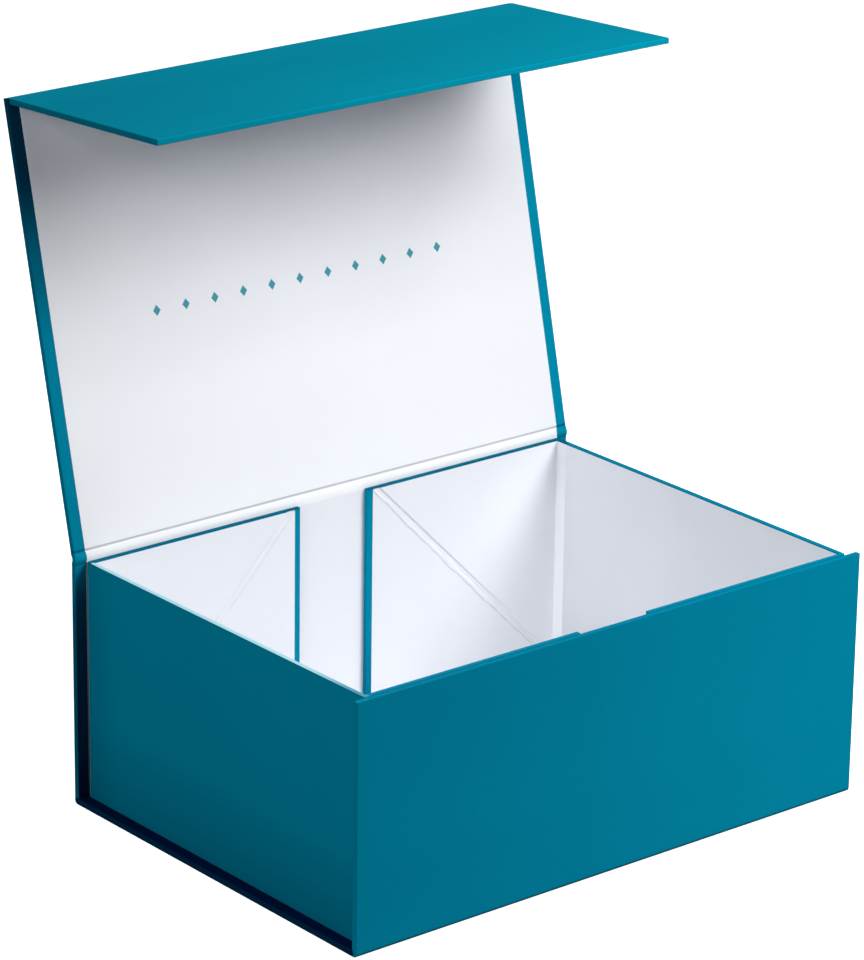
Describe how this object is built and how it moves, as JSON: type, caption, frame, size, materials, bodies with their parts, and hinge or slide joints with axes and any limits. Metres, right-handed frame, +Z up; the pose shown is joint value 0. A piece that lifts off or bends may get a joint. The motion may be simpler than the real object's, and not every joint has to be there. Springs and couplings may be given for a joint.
{
  "type": "presentation box",
  "caption": "Fold-flat rigid presentation box: teal paper-wrapped case with a hinged lid and closing flap round a white-lined tray with folding corner flaps.",
  "frame": {"origin": "centre of the underside of the base, on the surface that the box stands on", "axes": "+X to the right along the front, +Y towards the back where the lid is hinged, +Z up"},
  "size_m": [0.24, 0.2095, 0.2714],
  "materials": {
    "teal_paper": "matte wrapping paper, fine tooth, soft sheen",
    "white_paper": "matte white lining paper",
    "grey_board": "unbleached grey board",
    "magnet": "nickel-plated disc",
    "tape": "double-sided assembly tape"
  },
  "bodies": {
    "box": {"base_board": "grey_board", "front_board": "grey_board", "back_board": "grey_board", "case_wrap": "teal_paper", "case_liner": "white_paper", "floor_liner": "white_paper", "front_magnets": "magnet", "assembly_tapes": "tape", "left_wall_board": "grey_board", "left_front_corner_board": "grey_board", "left_front_glue_board": "grey_board", "left_back_corner_board": "grey_board", "left_back_glue_board": "grey_board", "left_tray_wrap": "teal_paper", "left_tray_liner": "white_paper", "right_wall_board": "grey_board", "right_front_corner_board": "grey_board", "right_front_glue_board": "grey_board", "right_back_corner_board": "grey_board", "right_back_glue_board": "grey_board", "right_tray_wrap": "teal_paper", "right_tray_liner": "white_paper"},
    "lid": {"lid_board": "grey_board", "lid_wrap": "teal_paper", "lid_liner": "white_paper"},
    "fold": {"fold_wrap": "teal_paper", "fold_liner": "white_paper"},
    "flap": {"flap_board": "grey_board", "flap_wrap": "teal_paper", "flap_liner": "white_paper", "flap_magnets": "magnet"}
  },
  "joints": [
    {"name": "lid_hinge", "type": "hinge", "parent": "box", "child": "lid", "pos_m": [0, 0.08392, 0.09847], "axis": [-1, 0, 0], "range_deg": [-103.2, 76.8]},
    {"name": "flap_hinge", "type": "hinge", "parent": "lid", "child": "fold", "pos_m": [0, 0.12422, 0.26556], "axis": [-1, 0, 0], "range_deg": [0, 90]},
    {"name": "fold_squaring", "type": "hinge", "parent": "fold", "child": "flap", "pos_m": [0, 0.12091, 0.26634], "axis": [-1, 0, 0], "range_deg": [-7.6, 10.2]}
  ],
  "couplings": [
    {"joint": "fold_squaring", "follows": "lid_hinge", "ratio": -0.097868}
  ]
}
